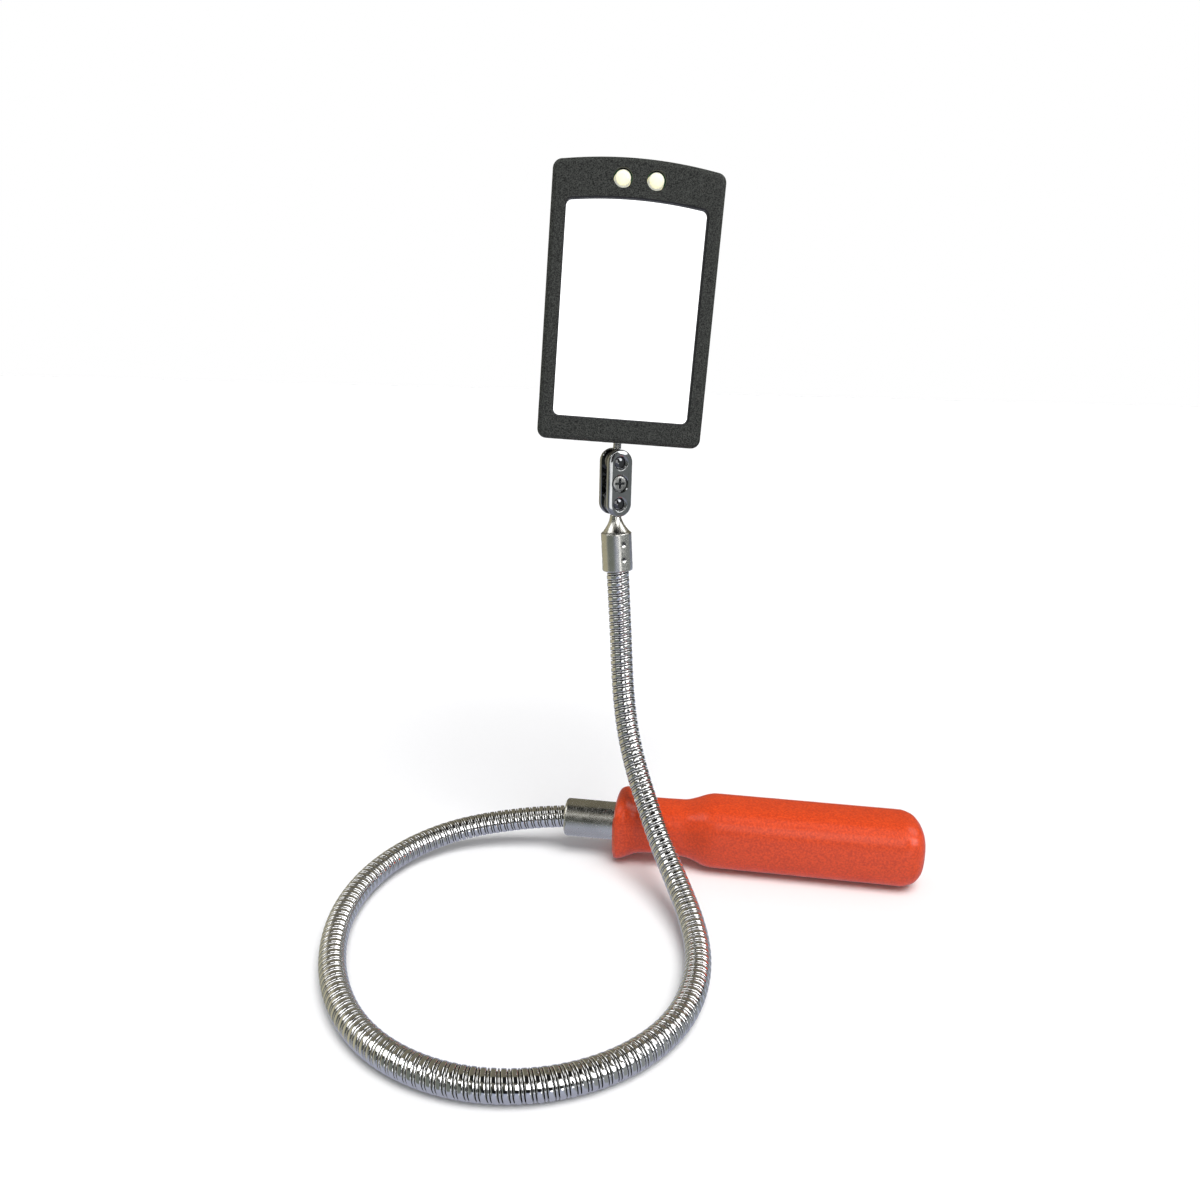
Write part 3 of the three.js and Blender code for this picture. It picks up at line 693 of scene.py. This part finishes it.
def gooseneck():
    chain = neck_chain()
    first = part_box("gooseneck_01")[1].x
    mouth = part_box("handle_ferrule")[0].x
    ferrule_z = extent("neck_ferrule", TIP)[0].z
    knots = [(first, 0, AXIS_Z), ((first + mouth) / 2, 0, AXIS_Z), (mouth, 0, AXIS_Z)]
    knots += [tuple(j["pos_m"]) for j in chain]
    knots += [tuple(TIP @ Vector((0, 0, (ferrule_z + up) * MM))) for up in (0, 9)]
    line = CentreLine(np.array(knots) / MM)
    hinge = line.knots_s[3:-2]
    middle = (hinge[:-1] + hinge[1:]) / 2
    starts = [line.knots_s[2] - 6, *middle]
    stops = [*middle, line.length - 1]
    profile = winding_profile()
    for k, joint in enumerate(chain):
        ends_here = k == len(chain) - 1
        first_turn = math.ceil(starts[k] / WINDING_PITCH)
        last_turn = (math.floor if ends_here else math.ceil)(stops[k] / WINDING_PITCH)
        stations = [(t + p, d) for t in range(first_turn, last_turn) for p, d in profile]
        gap_share, gap_depth = profile[-1]
        stations.insert(0, (first_turn - 1 + gap_share, gap_depth))
        name = f"winding_{k + 1:02d}"
        start = line.point(line.knots_s[2] if k == 0 else middle[k - 1])
        stop = line.point(line.knots_s[-2] if ends_here else middle[k])
        own = [f"gooseneck_{k + 1:02d}"]
        if ends_here:
            own.append(f"gooseneck_{k + 2:02d}")
        winding(name, line, stations, own)


def winding(name, line, stations, own):
    columns, sides = len(stations), WINDING_SIDES
    share = np.repeat([p for p, _ in stations], sides + 1)
    depth = np.repeat([d for _, d in stations], sides + 1)
    turn = np.tile(np.arange(sides + 1) / sides, columns)
    where = line.skin((share + turn) * WINDING_PITCH, turn * TAU, WINDING_R - depth)
    faces = []
    for c in range(columns - 1):
        for i in range(sides):
            a = c * (sides + 1) + i
            faces.append((a, a + sides + 1, a + sides + 2, a + 1))
    mesh = bpy.data.meshes.new(name)
    mesh.from_pydata([tuple(p) for p in where * MM], [], faces)
    # How deep each point lies in a gap, which sets the painted shade of the coil.
    gap_shade_depth = mesh.attributes.new("gap_shade_depth", "FLOAT", "POINT")
    gap_shade_depth.data.foreach_set("value", (depth / GAP_DEPTH).astype(np.float32))
    face_outward(mesh, weld=1e-6)
    mesh.shade_smooth()
    mesh.materials.append(MATERIALS["chrome_coil"])
    piece = bpy.data.objects.new(name, mesh)
    bpy.context.scene.collection.objects.link(piece)
    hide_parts(*own)
    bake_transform(piece)


# ---------------------------------------------------------------- top ferrule, balls and link
def neck_ferrule():
    lo, hi = extent("neck_ferrule", TIP)
    r, shoulder = hi.x, 0.35
    straight = lo.z + FERRULE_STRAIGHT
    profile = [(4.2, lo.z + 2), (4.25, lo.z + 0.5), (4.5, lo.z), *arc(r - 0.5, lo.z + 0.5, 0.5, -90, 0, 4)]
    profile += [*arc(r - shoulder, straight - shoulder, shoulder, 0, 60, 3)]
    for i in range(1, 15):
        share = i / 14
        narrowing = (r - shoulder - STEM_R) * (1 - share) ** 1.75
        profile.append((STEM_R + narrowing, straight + FERRULE_FLARE * share))
    profile += [(STEM_R - 0.35, straight + FERRULE_FLARE + 0.5), (STEM_R - 0.5, hi.z), (0, hi.z)]
    verts, faces = lathe(fine(profile, 0.45), 96)
    dents = []
    for k in range(DENTS_AROUND):
        turn = DENT_TURN + k * TAU / DENTS_AROUND
        for z in DENT_HEIGHTS:
            dents.append(Vector((r * math.sin(turn), -r * math.cos(turn), lo.z + z)))
    verts = dented(verts, dents, DENT_R, DENT_DEPTH)
    piece = build("top_ferrule", verts, faces, TIP, "satin_nickel", "neck_tip", ["neck_ferrule"], 40)
    # Painted shade: the faces in the crimp dents take the darker ball steel.
    piece.data.materials.append(MATERIALS["ball_steel"])
    for face in piece.data.polygons:
        at = inside(TIP, face.center)
        if any((at - dent).length < DENT_R * 0.75 for dent in dents):
            face.material_index = 1


def ball(name, m, stem_side, body, own):
    """A ball with the root of its stem; stem_side is +1 or -1 along z."""
    r = extent(own, m)[1].x
    root = 1.45
    turn = math.degrees(math.acos(root / r))
    profile = [(x, z) for x, z in arc(0, 0, r, -90, turn - 6, 40)]
    profile += [(root + 0.12, r * 0.955), (root, r * 0.985), (root, r + 0.1), (0, r + 0.1)]
    profile = [(max(x, 0), stem_side * z) for x, z in profile]
    verts, faces = lathe(profile, 72)
    build(name, verts, faces, m, "ball_steel", body, [own], crease=50)


def link_plate(name, own, outward):
    """A plate with rolled edges and a chamfered seat round each ball; outward is the side of its face."""
    lo, hi = extent(own, LINK)
    r, top = hi.x, hi.z - hi.x
    face, inner = (lo.y, hi.y) if outward < 0 else (hi.y, lo.y)
    depth = abs(inner - face)

    def outline(inset):
        return arc(0, 0, r - inset, -180, 0, 28) + arc(0, top, r - inset, 0, 180, 28)

    def along(profile):
        return [(inset, face + (inner - face) * y / depth) for inset, y in profile]

    hole, ball_r = 2.0, abs(extent("neck_ball", TIP)[0].x) + 0.1
    reach = abs(face) - math.sqrt(ball_r**2 - hole**2)
    seat = along([(0.80, 0), (0.66, 0.06), (0.40, 0.24), (0.12, 0.60), (0.0, 0.85), (0.0, reach)])
    for i in range(1, 6):
        y = reach + (depth - reach) * i / 5
        seat += along([(math.sqrt(ball_r**2 - (abs(face) - y) ** 2) - hole, y)])
    middle = along([(0.3, 0), (0, 0.3), (0, 1.7), (-1.4, 1.71), (-1.4, depth)])
    rear = along([(0.3, 0), (0, 0.3), (0, depth)])
    rim = [(1.50, 0), (1.42, 0.01), (0.52, 0.18), (0.42, 0.21), (0.18, 0.36), (0.04, 0.60)]
    rim += [(0, 0.85), (0, depth - 0.3)]
    walls = [wall(outline, along(rim + [(0.1, depth - 0.1), (0.3, depth)]))]
    for z in (0, top):
        walls.append(wall(ring_of(hole, 0, z, 48), seat, -1))
    screw_hole, edge = (3.0, middle) if outward < 0 else (1.7, rear)
    walls.append(wall(ring_of(screw_hole, 0, top / 2, 48), edge, -1))
    verts, faces, flat = walls_mesh(walls)
    build(name, verts, faces, LINK, "polished_steel", "link", [own], crease=34, flat=flat)


def shade_recess(piece, spin, reach, top):
    """Painted shade: darker steel on the walls and floor of a screw's recess."""
    piece.data.materials.append(MATERIALS["ball_steel"])
    for face in piece.data.polygons:
        at = inside(spin, face.center)
        if math.hypot(at.x, at.y) < reach and top - 1 < at.z < top - 0.02:
            face.material_index = 1


def link_screw():
    lo, hi = extent("link_screw", LINK)
    middle = (lo.z + hi.z) / 2
    spin = basis(LINK @ Vector((0, 0, middle * MM)), LINK.col[0].xyz, -LINK.col[1].xyz)
    top, under, r = -lo.y, -lo.y - 1.1, hi.x
    profile = [(0, -hi.y), (1.25, -hi.y), (1.25, under), (r, under), (r, top - 0.45)]
    profile += [(x, z) for x, z in arc(r - 0.45, top - 0.45, 0.45, 0, 80, 5)] + [(r * 0.45, top), (0, top)]
    piece = build("clamp_screw", *lathe(profile, 56), spin, "screw_steel", None, ["link_screw"])
    for cutter in cross_cutter(r * 0.66, 0.42, top - 0.8, top + 1):
        cut(piece, *cutter, spin)
    shade_recess(piece, spin, r * 0.7, top)
    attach(piece, "link_screw")


def head_stud():
    lo, hi = extent("head_stud", HEAD)
    r = hi.x
    profile = [(0, lo.z), (1.0, lo.z), (1.1, lo.z + 0.2), (r, lo.z + 0.6)]
    z = lo.z + 0.9
    while z < hi.z - 0.6:
        profile += [(r, z), (r - 0.12, z + 0.16), (r, z + 0.32)]
        z += 0.5
    profile += [(r - 0.3, hi.z), (0, hi.z)]
    build("threaded_stud", *lathe(profile, 40), HEAD, "satin_nickel", "head", ["head_stud"], crease=60)


# ---------------------------------------------------------------- mirror head
def lamp_place(name):
    lo, hi = extent(name, HEAD)
    return (lo.x + hi.x) / 2, (lo.z + hi.z) / 2, (hi.x - lo.x) / 2 - 0.25


def head_frame(own):
    lo, hi = extent(own, HEAD)
    return panel(hi.x - lo.x, lo.z, hi.z - HEAD_BOW, HEAD_CORNER, HEAD_BOW), lo, hi


def bezel():
    outline, lo, hi = head_frame("bezel")
    glass_lo, glass_hi = extent("mirror_glass", HEAD)
    width = glass_hi.x - glass_lo.x - 2 * GLASS_LIP
    view = panel(width, glass_lo.z + GLASS_LIP, glass_hi.z - GLASS_LIP - VIEW_BOW, VIEW_CORNER, VIEW_BOW)
    inner = lo.y + WALL
    outside = [(1.45, 0), (1.40, 0.01), (0.32, 0.80), (0.16, 0.95), (0.04, 1.2), (0, 1.5)]
    outside = [(inset, lo.y + y) for inset, y in outside]
    outside += [(0, hi.y - 0.15), (0.15, hi.y), (WALL, hi.y), (WALL, inner)]
    window = [(0.42, lo.y), (0.10, lo.y + 0.22), (0, lo.y + 0.5), (0, inner)]
    walls = [wall(outline, outside), wall(view, window, -1)]
    for name in ("led_left", "led_right"):
        x, z, _ = lamp_place(name)
        walls.append(wall(ring_of(LAMP_HOLE_R, x, z, 44), [(0.1, lo.y), (0, lo.y + 0.1), (0, inner)], -1))
    verts, faces, flat = walls_mesh(walls)
    piece = build("front_bezel", verts, faces, HEAD, "charcoal_plastic", "head", ["bezel"], 34, flat)
    # Painted shade: the inner walls of the window and the lamp holes take the black plastic.
    piece.data.materials.append(MATERIALS["black_plastic"])
    margin = 2.5
    for face in piece.data.polygons:
        at = inside(HEAD, face.center)
        within = abs(at.x) < hi.x - margin and lo.z + margin < at.z < hi.z - HEAD_BOW - margin
        if within and abs(face.normal.dot(HEAD.col[1].xyz)) < 0.9:
            face.material_index = 1


def lamp(name):
    lo, hi = extent(name, HEAD)
    x, z, r = lamp_place(name)
    spin = basis(HEAD @ Vector((x * MM, hi.y * MM, z * MM)), HEAD.col[0].xyz, -HEAD.col[1].xyz)
    length = hi.y - lo.y
    profile = [(0, 0), (r + 0.25, 0), (r + 0.25, 1), (r, 1), (r, length - r * 0.55)]
    for i in range(1, 10):
        t = math.pi / 2 * i / 9
        profile.append((r * math.cos(t), length - r * 0.55 * (1 - math.sin(t))))
    build(name + "_lens", *lathe(profile, 48), spin, "lamp_resin", "head", [name], crease=50)


def notched(w, z0, z1, door):
    """The back plate's outline: the head's outline with the battery bay cut in from the right."""
    whole = panel(w, z0, z1, HEAD_CORNER, HEAD_BOW)
    left, low, high = door

    def at(inset):
        points = whole(inset)
        corner = 9
        bay = [(w / 2 - inset, low - inset), (left - inset, low - inset), (left - inset, high + inset)]
        return points[:corner] + bay + [(w / 2 - inset, high + inset)] + points[corner:]

    return at


def back_cover():
    outline, lo, hi = head_frame("back_cover")
    door_lo, door_hi = extent("battery_door", HEAD)
    door = (door_lo.x - DOOR_GAP, door_lo.z - DOOR_GAP, door_hi.z + DOOR_GAP)
    shelf = door_lo.y - 0.5
    rim = [(WALL, shelf), (WALL, lo.y), (0.15, lo.y), (0, lo.y + 0.15), (0, shelf)]
    shell = walls_mesh([wall(outline, rim)])[:2]
    plate_outline = notched(hi.x - lo.x, lo.z, hi.z - HEAD_BOW, door)
    walls = [wall(plate_outline, rounded(shelf, hi.y, 0.0, 0.9, 6))]
    for n in range(1, 5):
        screw_lo, screw_hi = extent(f"back_screw_{n}", HEAD)
        x, z = (screw_lo.x + screw_hi.x) / 2, (screw_lo.z + screw_hi.z) / 2
        walls.append(wall(ring_of(2.4, x, z, 32), [(0, shelf), (0, hi.y - 0.25), (0.25, hi.y)], -1))
    slide_lo, slide_hi = extent("switch_slider", HEAD)
    slot = block(slide_lo.x - 0.8, slide_hi.x + 3.8, slide_lo.z - 0.4, slide_hi.z + 0.4, 0.8)
    walls.append(wall(slot, [(0, shelf), (0, hi.y - 0.4), (0.4, hi.y)], -1))
    verts, faces, flat = walls_mesh(walls)
    flat = [i + len(shell[1]) for i in flat]
    verts, faces = merge(shell, (verts, faces))
    build("rear_cover", verts, faces, HEAD, "charcoal_plastic", "head", ["back_cover"], 34, flat)


def battery_door():
    lo, hi = extent("battery_door", HEAD)
    walls = [wall(block(lo.x, hi.x, lo.z, hi.z, 0.8), rounded(lo.y, hi.y, 0.2, 0.45, 5))]
    verts, faces, flat = walls_mesh(walls)
    parts = [(verts, faces)]
    rib_edge = rounded(hi.y - 0.2, hi.y + 0.45, 0.0, 0.3, 3)
    for k in range(6):
        x = lo.x + 6 + 1.6 * k
        rib = block(x - 0.35, x + 0.35, lo.z + 6, hi.z - 6, 0.3)
        parts.append(walls_mesh([wall(rib, rib_edge)])[:2])
    verts, faces = merge(*parts)
    own = "battery_door"
    build("sliding_door", verts, faces, HEAD, "charcoal_plastic", own, [own], 34, flat)


def switch_slider():
    lo, hi = extent("switch_slider", HEAD)
    ridges = 4
    pitch = (hi.x - lo.x - 0.4) / ridges
    outline = [(lo.x, lo.y), (hi.x, lo.y), (hi.x, hi.y - 0.4)]
    for k in range(ridges):
        x = hi.x - 0.2 - k * pitch
        outline += [(x, hi.y), (x - pitch * 0.5, hi.y)]
        outline += [(x - pitch * 0.6, hi.y - 0.35), (x - pitch * 0.9, hi.y - 0.35)]
    outline.append((lo.x, hi.y - 0.4))
    rings = [[(x, y, z) for x, y in outline] for z in (lo.z, hi.z)]
    verts, faces, _ = walls_mesh([rings])
    piece = build("switch_thumb", verts, faces, HEAD, "black_plastic", None, ["switch_slider"])
    bevel(piece, 0.08, 2)
    bake(piece)
    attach(piece, "switch_slider")


def back_screw(n):
    own = f"back_screw_{n}"
    lo, hi = extent(own, HEAD)
    x, z = (lo.x + hi.x) / 2, (lo.z + hi.z) / 2
    spin = basis(HEAD @ Vector((x * MM, 0, z * MM)), HEAD.col[0].xyz, HEAD.col[1].xyz)
    r, top = (hi.x - lo.x) / 2, hi.y
    profile = [(0, lo.y), (1.0, lo.y), (1.0, top - 0.95), (r, top - 0.9), (r, top - 0.4)]
    profile += arc(r - 0.4, top - 0.4, 0.4, 0, 75, 4) + [(0, top)]
    piece = build(f"cover_screw_{n}", *lathe(profile, 40), spin, "screw_steel", None, [own])
    for cutter in cross_cutter(r * 0.6, 0.26, top - 0.55, top + 1):
        cut(piece, *cutter, spin)
    shade_recess(piece, spin, r * 0.65, top)
    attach(piece, "head")


def inner_parts():
    """CAD nodes whose shape is right as it is: they keep it and take a finish."""
    finishes = {s["node"]: s["material_slot"] for s in frame["record"]["subparts"]}
    for name, obj in frame["nodes"].items():
        obj.data.materials.clear()
        obj.data.materials.append(MATERIALS[finishes[name]])


# ---------------------------------------------------------------- studio
CAMERA_FOOT = (-17.3, -316.1)
CAMERA_HEIGHT = 180.8
EYE = Vector((*CAMERA_FOOT, CAMERA_HEIGHT)) * MM
CAMERA_TURN = math.radians(8.4)
CAMERA_DIP = math.radians(14.4)
CAMERA_ROLL = math.radians(1.27)
CAMERA_LENS = 27.63

# Soft patches that bright metal reflects: turn from -Y towards +X, height, inner and outer size, all in
# degrees, then colour. A later patch covers an earlier one.
LOBES = [
    (180, 40, 42, 62, (0.17, 0.155, 0.115)),
    (17, 80, 19, 27, (0.015, 0.015, 0.015)),
    (-105, -5, 28, 48, (0.46, 0.43, 0.31)),
    (-38, -6, 24, 36, (0.17, 0.185, 0.165)),
    (80, -6, 36, 50, (0.26, 0.275, 0.275)),
    (-73, 46, 14, 20, (2.2, 2.2, 2.2)),
    (107, 46, 14, 20, (2.2, 2.2, 2.2)),
    (-25, 40, 6, 9, (1.7, 1.7, 1.7)),
    (17, 38, 6, 8, (2.2, 2.2, 2.2)),
    (40, 44, 10, 13, (2.2, 2.2, 2.2)),
    (62, 25, 12, 16, (6.0, 6.0, 6.1)),
    (33, -11, 6, 8, (2.0, 2.0, 2.0)),
]


SOFTBOX_SIZE = (0.19, 0.25)
SOFTBOX_REACH = 0.45
SOFTBOX_GLOW = 1.6


def direction(turn, height):
    t, h = math.radians(turn), math.radians(height)
    return Vector((math.sin(t) * math.cos(h), -math.cos(t) * math.cos(h), math.sin(h)))


def reflected_studio(tree):
    """What glossy surfaces see: a pale floor, a dark horizon, a grey ceiling and the soft patches."""
    where = node(tree, "ShaderNodeTexCoord")
    height = node(tree, "ShaderNodeSeparateXYZ")
    spread = node(tree, "ShaderNodeMapRange", From_Min=-1.0, From_Max=1.0)
    ramp = node(tree, "ShaderNodeValToRGB")
    stops = [
        (0.00, (0.36, 0.37, 0.45)),
        (0.33, (0.42, 0.45, 0.56)),
        (0.43, (0.36, 0.40, 0.52)),
        (0.45, (0.008, 0.008, 0.008)),
        (0.62, (0.010, 0.010, 0.010)),
        (0.70, (0.04, 0.04, 0.035)),
        (0.80, (0.12, 0.115, 0.095)),
        (1.00, (0.20, 0.19, 0.155)),
    ]
    elements = ramp.color_ramp.elements
    while len(elements) < len(stops):
        elements.new(0.5)
    for element, (at, color) in zip(elements, stops):
        element.position = at
        element.color = (*color, 1)
    tree.links.new(where.outputs["Generated"], height.inputs["Vector"])
    tree.links.new(height.outputs["Z"], spread.inputs["Value"])
    tree.links.new(spread.outputs["Result"], ramp.inputs["Fac"])
    color = ramp.outputs["Color"]
    for turn, up, inner, outer, shade in LOBES:
        dot = node(tree, "ShaderNodeVectorMath", operation="DOT_PRODUCT")
        dot.inputs[1].default_value = direction(turn, up)
        edge = node(tree, "ShaderNodeMapRange", interpolation_type="SMOOTHSTEP")
        edge.inputs["From Min"].default_value = math.cos(math.radians(outer))
        edge.inputs["From Max"].default_value = math.cos(math.radians(inner))
        mix = node(tree, "ShaderNodeMix", data_type="RGBA")
        tree.links.new(where.outputs["Generated"], dot.inputs[0])
        tree.links.new(dot.outputs["Value"], edge.inputs["Value"])
        tree.links.new(edge.outputs["Result"], mix.inputs["Factor"])
        tree.links.new(color, mix.inputs["A"])
        mix.inputs["B"].default_value = (*shade, 1)
        color = mix.outputs["Result"]
    return color


def world():
    made = bpy.data.worlds.new("studio")
    bpy.context.scene.world = made
    made.use_nodes = True
    tree = made.node_tree
    background = tree.nodes["Background"]
    rays = node(tree, "ShaderNodeLightPath")
    glossy = node(tree, "ShaderNodeMix", data_type="RGBA")
    glossy.inputs["A"].default_value = (0.42, 0.42, 0.43, 1)
    seen = node(tree, "ShaderNodeMix", data_type="RGBA")
    seen.inputs["B"].default_value = (1.0, 1.0, 1.0, 1)
    tree.links.new(rays.outputs["Is Glossy Ray"], glossy.inputs["Factor"])
    tree.links.new(reflected_studio(tree), glossy.inputs["B"])
    tree.links.new(rays.outputs["Is Camera Ray"], seen.inputs["Factor"])
    tree.links.new(glossy.outputs["Result"], seen.inputs["A"])
    tree.links.new(seen.outputs["Result"], background.inputs["Color"])


def soft_sun(turn, height, spread, power):
    data = bpy.data.lights.new("sky_light", "SUN")
    data.angle = math.radians(spread)
    data.energy = power
    made = bpy.data.objects.new("sky_light", data)
    made.rotation_mode = "QUATERNION"
    made.rotation_quaternion = direction(turn, height).to_track_quat("Z", "Y")
    made.visible_glossy = False
    bpy.context.scene.collection.objects.link(made)


def mirror_softbox():
    """A pale panel that only reflections see, put where the camera looks to by way of the mirror."""
    lo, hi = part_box("mirror_glass")
    glass = (lo + hi) / 2
    face = HEAD.col[1].xyz.normalized()
    sight = (glass - EYE).normalized()
    back = sight - 2 * sight.dot(face) * face
    data = bpy.data.lights.new("mirror_softbox", "AREA")
    data.shape = "RECTANGLE"
    data.size, data.size_y = SOFTBOX_SIZE
    data.energy = SOFTBOX_GLOW * math.pi * data.size * data.size_y
    made = bpy.data.objects.new("mirror_softbox", data)
    made.location = glass + back * SOFTBOX_REACH
    made.rotation_mode = "QUATERNION"
    made.rotation_quaternion = back.to_track_quat("Z", "Y")
    made.visible_camera = False
    made.visible_diffuse = False
    bpy.context.scene.collection.objects.link(made)


def floor():
    half, low = 6.0, cad_box[0].z
    mesh = bpy.data.meshes.new("floor")
    corners = [(x * half, y * half, low) for x, y in ((-1, -1), (1, -1), (1, 1), (-1, 1))]
    mesh.from_pydata(corners, [], [(0, 1, 2, 3)])
    ground = bpy.data.objects.new("floor", mesh)
    bpy.context.scene.collection.objects.link(ground)
    dark, light = (0.925, 0.925, 0.925), (0.93, 0.93, 0.93)
    mesh.materials.append(speckled("pale_floor", dark, light, 0.85, 400, 0.005))
    ground.visible_glossy = False


def camera():
    data = bpy.data.cameras.new("camera")
    data.lens = CAMERA_LENS
    data.sensor_width = 36
    data.clip_start = 0.01
    made = bpy.data.objects.new("camera", data)
    made.location = EYE
    look = Matrix.Rotation(CAMERA_TURN, 3, "Z") @ Matrix.Rotation(math.pi / 2 - CAMERA_DIP, 3, "X")
    made.rotation_mode = "QUATERNION"
    made.rotation_quaternion = (look @ Matrix.Rotation(CAMERA_ROLL, 3, "Z")).to_quaternion()
    bpy.context.scene.collection.objects.link(made)
    bpy.context.scene.camera = made


# ---------------------------------------------------------------- assembly
handle()
handle_ferrule()
gooseneck()
neck_ferrule()
ball("lower_ball", TIP, -1, "neck_ball", "neck_ball")
ball("upper_ball", HEAD, 1, "head_ball", "head_ball")
link_plate("front_plate", "link_plate_front", -1)
link_plate("rear_plate", "link_plate_rear", 1)
link_screw()
head_stud()
bezel()
lamp("led_left")
lamp("led_right")
back_cover()
battery_door()
switch_slider()
for number in range(1, 5):
    back_screw(number)
inner_parts()

world()
soft_sun(40, 66, 40, 2.6)
mirror_softbox()
floor()
camera()
bpy.context.scene.view_settings.view_transform = "Standard"
